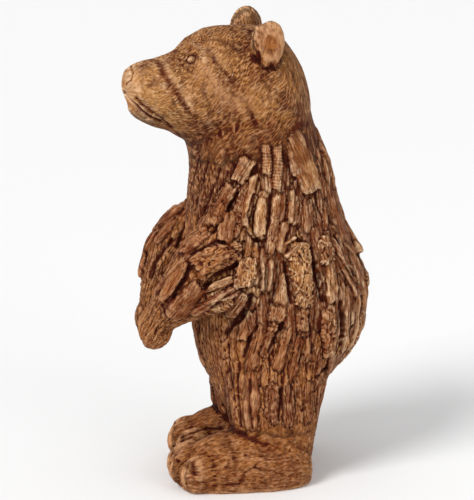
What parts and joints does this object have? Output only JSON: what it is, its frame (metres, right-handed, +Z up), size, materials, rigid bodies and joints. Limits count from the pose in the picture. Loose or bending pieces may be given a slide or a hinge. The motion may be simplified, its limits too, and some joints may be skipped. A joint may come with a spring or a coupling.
{
  "type": "garden bear statue",
  "caption": "Standing bear cast in resin, its coat carved as overlapping driftwood planks, with a smooth carved head, paws held together in front and flat broad feet.",
  "frame": {"origin": "on the ground under the middle of the statue's bounding box", "axes": "+Z up, the bear faces -Y, its left side is +X"},
  "size_m": [0.1796, 0.2738, 0.4999],
  "materials": {
    "resin": "matt hand-stained wood colours, tan on the raised wood and dark brown in the cracks"
  },
  "bodies": {
    "root": {"bear": "resin"}
  },
  "joints": []
}
